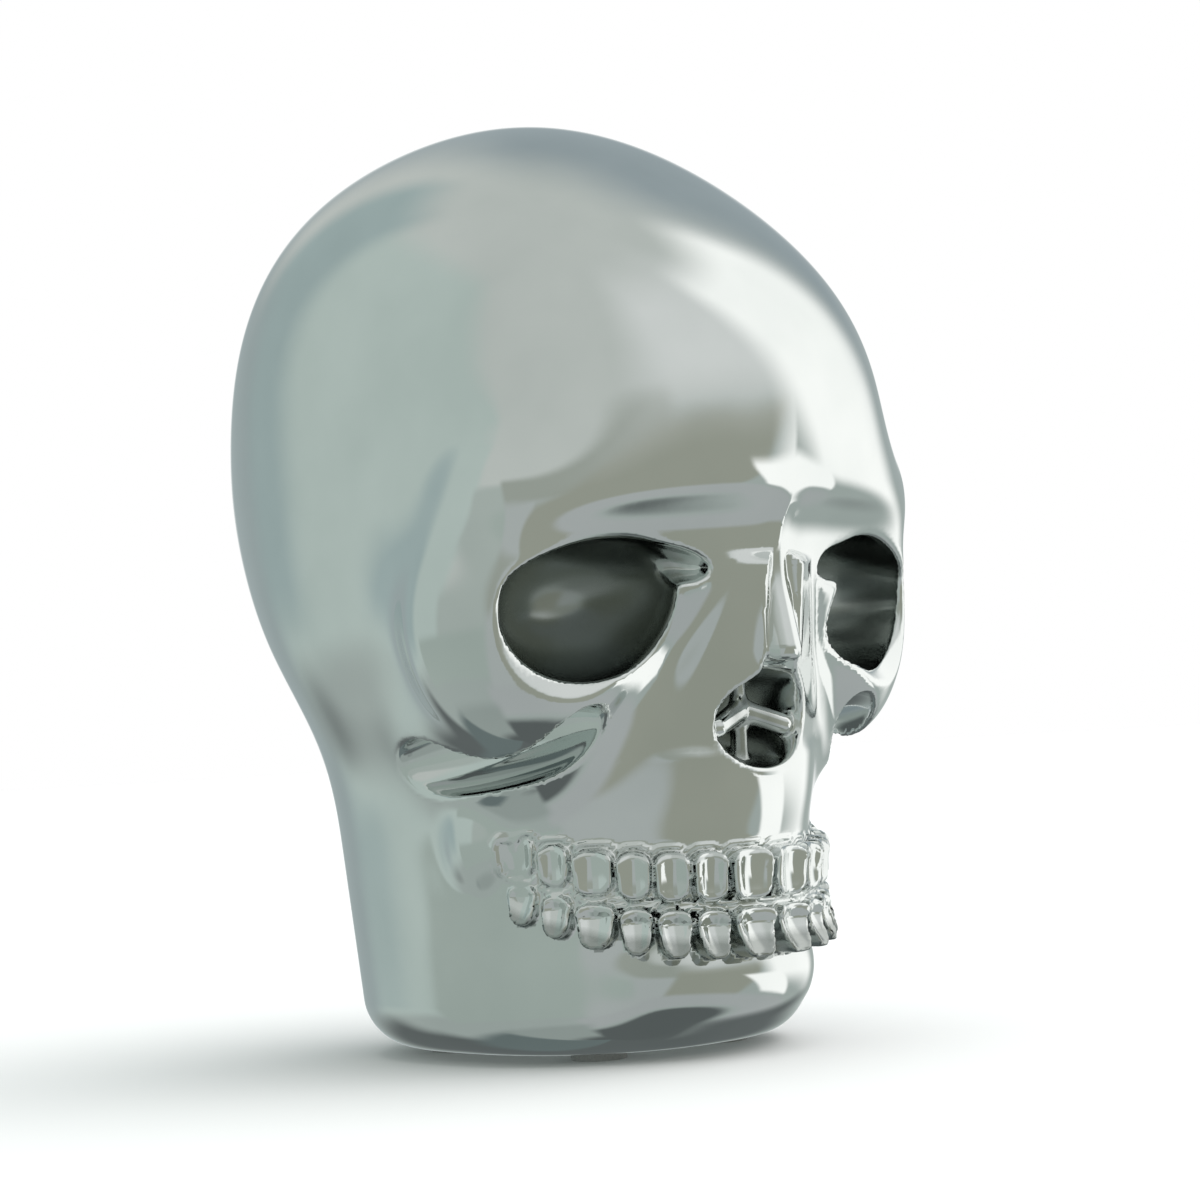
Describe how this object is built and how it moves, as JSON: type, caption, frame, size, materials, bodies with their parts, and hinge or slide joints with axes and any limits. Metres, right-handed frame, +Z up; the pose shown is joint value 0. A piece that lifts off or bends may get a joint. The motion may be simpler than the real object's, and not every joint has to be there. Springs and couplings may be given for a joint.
{
  "type": "decorative skull ornament",
  "caption": "Mirror-finish hollow ceramic skull ornament with open eye sockets, nose opening and bared teeth, standing on a flat jaw base.",
  "frame": {"origin": "under the middle of the bounding box, on the plane the felt pads stand on", "axes": "+Z up; the face looks along -Y, so +X is to the right in a front view; X = 0 is the plane of symmetry"},
  "size_m": [0.113, 0.1372, 0.1715],
  "materials": {
    "plated_ceramic": "mirror-plated glaze over white ceramic",
    "felt": "pressed felt"
  },
  "bodies": {
    "root": {"skull_shell": "plated_ceramic", "felt_pad_front_left": "felt", "felt_pad_front_right": "felt", "felt_pad_rear_left": "felt", "felt_pad_rear_right": "felt"}
  },
  "joints": []
}
